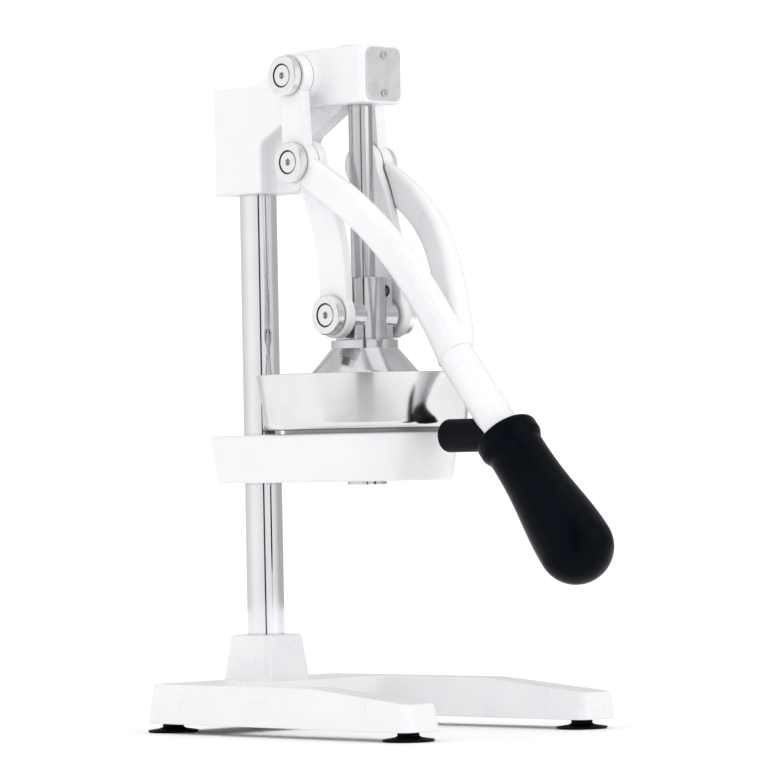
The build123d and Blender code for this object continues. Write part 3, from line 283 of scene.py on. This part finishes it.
    def material(self) -> bpy.types.Material:
        """Builds the material.

        Returns:
            The new material.
        """
        made = bpy.data.materials.new(self.name)
        made.use_nodes = True
        tree = made.node_tree
        tree.nodes.clear()
        where = add_node(tree, "ShaderNodeTexCoord").outputs["Object"]
        fine = self.coordinates(tree)
        mark_size = self.mark_size * MM
        if self.grain is Grain.RINGS_Y:
            mark_size /= CAP_DIAMETER
        marks = self.noise(tree, fine, mark_size, MARK_DETAIL)
        patches = self.noise(tree, where, self.patch_size * MM, PATCH_DETAIL)
        tones = ramp(tree, patches, [(NOISE_LOW, self.dark), (NOISE_HIGH, self.light)])
        # Painted shade in holes and where pieces meet, from how open each spot is.
        colour = self.paint_crevice_shade(tree, tones)
        edges = {"Radius": self.edge_radius * MM}
        rounded = add_node(tree, "ShaderNodeBevel", {"samples": EDGE_SAMPLES}, edges)
        both = add_node(tree, "ShaderNodeMath", {"operation": "ADD"}, {0: patches, 1: marks}).outputs["Value"]
        half = add_node(tree, "ShaderNodeMath", {"operation": "MULTIPLY"}, {0: both, 1: 0.5}).outputs["Value"]
        rough = ramp(tree, half, [(NOISE_LOW, self.roughness[0]), (NOISE_HIGH, self.roughness[1])])
        bump = add_node(
            tree,
            "ShaderNodeBump",
            inputs={
                "Height": marks,
                "Strength": 1.0,
                "Distance": self.mark_depth * MM,
                "Normal": rounded.outputs["Normal"],
            },
        ).outputs["Normal"]
        if self.wave_depth:
            waves = self.noise(tree, where, self.wave_size * MM, WAVE_DETAIL)
            bump = add_node(
                tree,
                "ShaderNodeBump",
                inputs={"Height": waves, "Strength": 1.0, "Distance": self.wave_depth * MM, "Normal": bump},
            ).outputs["Normal"]
        shader = add_node(
            tree,
            "ShaderNodeBsdfPrincipled",
            inputs={
                "Base Color": colour,
                "Metallic": self.metallic,
                "Roughness": rough,
                "Normal": bump,
                "Specular IOR Level": self.specular,
                "Coat Weight": self.coat,
                "Coat Roughness": self.coat_roughness,
            },
        )
        add_node(tree, "ShaderNodeOutputMaterial", inputs={"Surface": shader.outputs["BSDF"]})
        LOG.info("finish %s", self.name)
        return made


# Stoved enamel on a casting: glossy white with a soft orange peel and slow waves from the casting under it.
WHITE_ENAMEL = Finish(
    name="white_enamel_on_casting",
    light="EBECED",
    dark="E8E9EB",
    metallic=0.0,
    roughness=(0.26, 0.36),
    mark_size=2.0,
    mark_depth=0.0015,
    wave_size=16.0,
    wave_depth=0.02,
    coat=0.5,
    coat_roughness=0.2,
    edge_radius=0.9,
    crevice_size=5.0,
    painted_crevice_shade=0.55,
)
# The same enamel on the forged lever and links, smoother than on the castings.
LEVER_ENAMEL = Finish(
    name="white_enamel_on_forging",
    light="ECEDEE",
    dark="E9EAEC",
    metallic=0.0,
    roughness=(0.26, 0.34),
    mark_size=2.0,
    mark_depth=0.0015,
    wave_size=22.0,
    wave_depth=0.02,
    coat=0.5,
    coat_roughness=0.2,
    edge_radius=0.8,
    crevice_size=4.0,
    painted_crevice_shade=0.55,
)
# Bright chrome on ground steel: a mirror with only the faintest haze.
MIRROR_CHROME = Finish(
    name="mirror_chrome_on_steel",
    light="E6E7E9",
    dark="E2E3E6",
    metallic=1.0,
    roughness=(0.03, 0.07),
    mark_size=0.8,
    mark_depth=0.0008,
    wave_size=40.0,
    wave_depth=0.01,
)
# Centreless-ground steel bar: fine marks round the bar, drawn a little coarser than real so that they show.
GROUND_STEEL = Finish(
    name="ground_steel_bar",
    light="C6C6C8",
    dark="C0C0C2",
    metallic=1.0,
    roughness=(0.10, 0.16),
    mark_size=0.35,
    mark_depth=0.0015,
    grain=Grain.ROUND_Z,
    stretch=14.0,
    patch_size=40.0,
)
# Sand-cast aluminium, ground and polished by hand: bright, with soft uneven patches.
POLISHED_ALUMINIUM = Finish(
    name="polished_cast_aluminium",
    light="D3D4D6",
    dark="C8C9CB",
    metallic=1.0,
    roughness=(0.09, 0.15),
    mark_size=0.9,
    mark_depth=0.002,
    patch_size=14.0,
    wave_size=18.0,
    wave_depth=0.02,
    edge_radius=0.7,
)
# Spun stainless steel, brushed while it turns: fine rings that draw highlights into vertical streaks.
SPUN_STAINLESS = Finish(
    name="spun_brushed_stainless",
    light="E4E4E5",
    dark="DCDCDD",
    metallic=1.0,
    roughness=(0.11, 0.16),
    mark_size=0.4,
    mark_depth=0.0018,
    grain=Grain.ROUND_Z,
    stretch=18.0,
    patch_size=22.0,
    wave_size=30.0,
    wave_depth=0.03,
)
# Turned steel, nickel plated: dull silver with tool rings round its middle.
NICKEL_TURNED = Finish(
    name="turned_nickel_plated_steel",
    light="F2F2F1",
    dark="ECECEB",
    metallic=1.0,
    roughness=(0.24, 0.36),
    mark_size=0.5,
    mark_depth=0.004,
    grain=Grain.RINGS_Y,
    edge_radius=0.4,
    crevice_size=2.5,
    painted_crevice_shade=0.25,
)
# Zinc-plated fasteners.
ZINC_STEEL = Finish(
    name="zinc_plated_steel",
    light="C6C7C8",
    dark="B4B6B8",
    metallic=1.0,
    roughness=(0.28, 0.42),
    mark_size=0.6,
    mark_depth=0.006,
    patch_size=4.0,
)
# Moulded thermoplastic grip with a satin tool finish: black with broad soft highlights.
BLACK_GRIP = Finish(
    name="black_moulded_grip",
    light="040810",
    dark="03060D",
    metallic=0.0,
    roughness=(0.26, 0.31),
    mark_size=0.45,
    mark_depth=0.004,
    patch_size=25.0,
    wave_size=18.0,
    wave_depth=0.02,
    specular=0.04,
)
# Moulded rubber: dull black, slightly grey where it is handled.
BLACK_RUBBER = Finish(
    name="black_moulded_rubber",
    light="090C12",
    dark="06080D",
    metallic=0.0,
    roughness=(0.48, 0.62),
    mark_size=0.5,
    mark_depth=0.012,
    patch_size=9.0,
    specular=0.08,
)
# Thin aluminium plate, brushed up and down before it was stamped.
BRUSHED_PLATE = Finish(
    name="brushed_aluminium_plate",
    light="F0F0F2",
    dark="E8E8EB",
    metallic=1.0,
    roughness=(0.26, 0.38),
    mark_size=0.35,
    mark_depth=0.004,
    grain=Grain.ALONG_Z,
    stretch=30.0,
    patch_size=10.0,
)

FINISH_OF_SLOT: dict[str, Finish] = {
    "enamel": WHITE_ENAMEL,
    "lever_enamel": LEVER_ENAMEL,
    "chrome": MIRROR_CHROME,
    "satin_steel": GROUND_STEEL,
    "polished_aluminium": POLISHED_ALUMINIUM,
    "bowl_steel": SPUN_STAINLESS,
    "nickel": NICKEL_TURNED,
    "hardware": ZINC_STEEL,
    "black_grip": BLACK_GRIP,
    "black_rubber": BLACK_RUBBER,
    "plate_metal": BRUSHED_PLATE,
}


class Wardrobe:
    """Makes each finish once and dresses pieces with it."""

    def __init__(self) -> None:
        """Starts with no material made."""
        self.made: dict[str, bpy.types.Material] = {}

    def of_slot(self, slot: str) -> bpy.types.Material:
        """Gives the material for one of the record's slots.

        Args:
            slot: the slot's name.

        Returns:
            The material.
        """
        if slot not in self.made:
            self.made[slot] = FINISH_OF_SLOT[slot].material()
        return self.made[slot]

    def dress(self, piece: bpy.types.Object, slot: str) -> None:
        """Puts a slot's material on the whole of a piece.

        Args:
            piece: the object.
            slot: the slot's name.
        """
        piece.data.materials.clear()
        piece.data.materials.append(self.of_slot(slot))


@dataclass
class CadPieces:
    """The CAD pieces, each carried over with its own mesh."""

    wardrobe: Wardrobe

    def dress_all(self) -> None:
        """Gives every CAD node the material of its slot."""
        slots = {entry["node"]: entry["material_slot"] for entry in frame["record"]["subparts"]}
        for name, node in frame["nodes"].items():
            self.wardrobe.dress(node, slots[name])
            LOG.info("carried over %s", name)


# Brightness of the surround by degrees to the right of the camera: a white tent, open behind the camera,
# with one dark stand on the right and a grey room beyond the table.
SURROUND_LOWER = [
    (-180, 0.62),
    (-113, 0.85),
    (-67, 1.08),
    (-31, 1.0),
    (-20, 0.93),
    (-6, 0.95),
    (-4, 0.02),
    (4, 0.02),
    (6, 0.95),
    (41, 0.95),
    (43, 0.4),
    (46, 0.4),
    (49, 0.95),
    (65, 0.9),
    (86, 0.64),
    (105, 0.52),
    (180, 0.5),
]
# Higher up the opening over the camera is wider.
SURROUND_UPPER = [
    (-180, 0.7),
    (-67, 0.85),
    (-14, 0.95),
    (-10, 0.05),
    (10, 0.05),
    (14, 0.95),
    (65, 0.92),
    (105, 0.65),
    (180, 0.6),
]


@dataclass(frozen=True)
class Lamp:
    """A square soft light that points at the middle of the press. Distances in metres.

    The offset counts degrees to the right of the camera, and the elevation degrees above the floor.
    """

    name: str
    offset: float
    elevation: float
    power: float
    distance: float = 2.4
    size: float = 1.6


@dataclass(frozen=True)
class FloorShade:
    """A grey patch on the floor between the press and the camera, seen only in bright metal.

    Each edge is its distance from the ram and its half width, in metres.
    """

    name: str
    near: tuple[float, float]
    far: tuple[float, float]
    grey: float


LAMPS = (
    Lamp("key", -55, 42, 1.3),
    Lamp("fill", 60, 25, 6.5),
)
FLOOR_SHADES = (
    FloorShade("near_floor", (0.45, 0.55), (0.72, 0.12), 0.75),
    FloorShade("far_floor", (0.72, 0.12), (2.6, 0.17), 0.1),
)


@dataclass
class Studio:
    """Floor, lights and camera. Distances in metres."""

    floor_size: float = 30.0
    floor_colour: str = "FBFBFC"
    floor_roughness: float = 0.6
    floor_specular: float = 0.2
    camera_distance: float = 3.021
    camera_height: float = 0.1614
    camera_azimuth: float = 45.0
    camera_lens: float = 232.3
    camera_roll: float = 1.1
    camera_reach: float = 100.0
    sensor_width: float = 36.0
    aim_right: float = 0.0113
    aim_height: float = 0.2110
    lamp_aim_height: float = 0.2
    surround_sides: int = 144
    surround_radius: float = 2.6
    surround_low: float = -1.2
    surround_middle: float = 0.95
    surround_high: float = 4.6
    world_strength: float = 1.13

    def direction(self, offset: float) -> Vector:
        """Gives the level direction from the press at an angle to the right of the camera's.

        Args:
            offset: degrees, anticlockwise seen from above.

        Returns:
            A unit vector.
        """
        angle = math.radians(self.camera_azimuth + offset)
        return Vector((math.sin(angle), -math.cos(angle), 0))

    def place(self, thing: bpy.types.Object) -> None:
        """Puts a new object in the scene.

        Args:
            thing: the object.
        """
        bpy.context.scene.collection.objects.link(thing)

    def camera(self) -> None:
        """Adds the camera."""
        axis = press_axis()
        place = axis + self.direction(0) * self.camera_distance + Vector((0, 0, self.camera_height))
        aim = axis + self.direction(90) * self.aim_right + Vector((0, 0, self.aim_height))
        data = bpy.data.cameras.new("camera")
        data.lens = self.camera_lens
        data.sensor_width = self.sensor_width
        data.clip_end = self.camera_reach
        camera = bpy.data.objects.new("camera", data)
        self.place(camera)
        turn = (aim - place).to_track_quat("-Z", "Y").to_matrix().to_4x4()
        roll = Matrix.Rotation(-math.radians(self.camera_roll), 4, "Z")
        camera.matrix_world = Matrix.Translation(place) @ turn @ roll
        bpy.context.scene.camera = camera

    def floor(self) -> None:
        """Adds the plain pale floor."""
        mesh = bpy.data.meshes.new("floor")
        half = self.floor_size / 2
        corners = [(-half, -half, 0), (half, -half, 0), (half, half, 0), (-half, half, 0)]
        mesh.from_pydata(corners, [], [(0, 1, 2, 3)])
        floor = bpy.data.objects.new("floor", mesh)
        self.place(floor)
        material = bpy.data.materials.new("white_sweep")
        material.use_nodes = True
        shader = material.node_tree.nodes["Principled BSDF"]
        shader.inputs["Base Color"].default_value = linear(self.floor_colour)
        shader.inputs["Roughness"].default_value = self.floor_roughness
        shader.inputs["Specular IOR Level"].default_value = self.floor_specular
        mesh.materials.append(material)

    def glow(self, mesh: bpy.types.Mesh, stops: list[tuple[float, float]]) -> None:
        """Adds a mesh that shows only in reflections, its brightness set along its map's first direction.

        Args:
            mesh: the mesh, with a UV map.
            stops: place on the map and grey of each stop.
        """
        card = bpy.data.objects.new(mesh.name, mesh)
        self.place(card)
        material = bpy.data.materials.new(mesh.name)
        material.use_nodes = True
        tree = material.node_tree
        tree.nodes.clear()
        place = add_node(tree, "ShaderNodeTexCoord").outputs["UV"]
        along = add_node(tree, "ShaderNodeSeparateXYZ", inputs={"Vector": place}).outputs["X"]
        grey = ramp(tree, along, stops)
        glow = add_node(tree, "ShaderNodeEmission", inputs={"Color": grey, "Strength": 1.0})
        add_node(tree, "ShaderNodeOutputMaterial", inputs={"Surface": glow.outputs["Emission"]})
        mesh.materials.append(material)
        card.visible_camera = False
        card.visible_shadow = False
        card.visible_diffuse = False

    def surround(self, name: str, low: float, high: float, stops: list[tuple[float, float]]) -> None:
        """Adds one band of the round surround that the bright metal reflects.

        Args:
            name: the band's name.
            low: height of its lower edge, in metres.
            high: height of its upper edge, in metres.
            stops: degrees to the right of the camera, from -180 to 180, and the grey there.
        """
        count = self.surround_sides
        axis = press_axis()
        corners: list[Vector] = []
        for step in range(count + 1):
            out = axis + self.direction(-180 + 360 * step / count) * self.surround_radius
            corners += [out + Vector((0, 0, low)), out + Vector((0, 0, high))]
        faces = [(2 * step, 2 * step + 2, 2 * step + 3, 2 * step + 1) for step in range(count)]
        mesh = bpy.data.meshes.new(name)
        mesh.from_pydata(corners, [], faces)
        layer = mesh.uv_layers.new(name="along")
        for loop, corner in zip(mesh.loops, layer.data, strict=True):
            corner.uv = ((loop.vertex_index // 2) / count, loop.vertex_index % 2)
        self.glow(mesh, [((offset + 180) / 360, grey) for offset, grey in stops])

    def floor_shade(self, shade: FloorShade) -> None:
        """Adds a grey patch just above the floor.

        Args:
            shade: the patch's edges and brightness.
        """
        axis = press_axis() + Vector((0, 0, MM))
        corners: list[Vector] = []
        for (distance, half), sides in ((shade.near, (-1, 1)), (shade.far, (1, -1))):
            middle = axis + self.direction(0) * distance
            corners += [middle + self.direction(90) * side * half for side in sides]
        mesh = bpy.data.meshes.new(shade.name)
        mesh.from_pydata(corners, [], [(0, 1, 2, 3)])
        mesh.uv_layers.new(name="along")
        self.glow(mesh, [(0.0, shade.grey), (1.0, shade.grey)])

    def lamp(self, lamp: Lamp) -> None:
        """Adds a soft light.

        Args:
            lamp: where it stands and how strong it is.
        """
        data = bpy.data.lights.new(lamp.name, "AREA")
        data.shape = "SQUARE"
        data.size = lamp.size
        data.energy = lamp.power
        light = bpy.data.objects.new(lamp.name, data)
        self.place(light)
        rise = math.radians(lamp.elevation)
        out = self.direction(lamp.offset) * math.cos(rise) + Vector((0, 0, math.sin(rise)))
        light.location = press_axis() + Vector((0, 0, self.lamp_aim_height)) + out * lamp.distance
        light.rotation_euler = (-out).to_track_quat("-Z", "Y").to_euler()

    def world(self) -> None:
        """Adds the white surround."""
        world = bpy.data.worlds.new("white_surround")
        bpy.context.scene.world = world
        world.use_nodes = True
        background = world.node_tree.nodes["Background"]
        background.inputs["Color"].default_value = (1, 1, 1, 1)
        background.inputs["Strength"].default_value = self.world_strength

    def build(self) -> None:
        """Builds the whole studio."""
        bpy.context.scene.view_settings.view_transform = "Standard"
        self.camera()
        self.world()
        self.floor()
        for lamp in LAMPS:
            self.lamp(lamp)
        self.surround("surround_lower", self.surround_low, self.surround_middle, SURROUND_LOWER)
        self.surround("surround_upper", self.surround_middle, self.surround_high, SURROUND_UPPER)
        for shade in FLOOR_SHADES:
            self.floor_shade(shade)


def main() -> None:
    logging.basicConfig(level=logging.INFO)
    wardrobe = Wardrobe()
    Studio().build()
    CadPieces(wardrobe).dress_all()


if __name__ == "__main__":
    main()
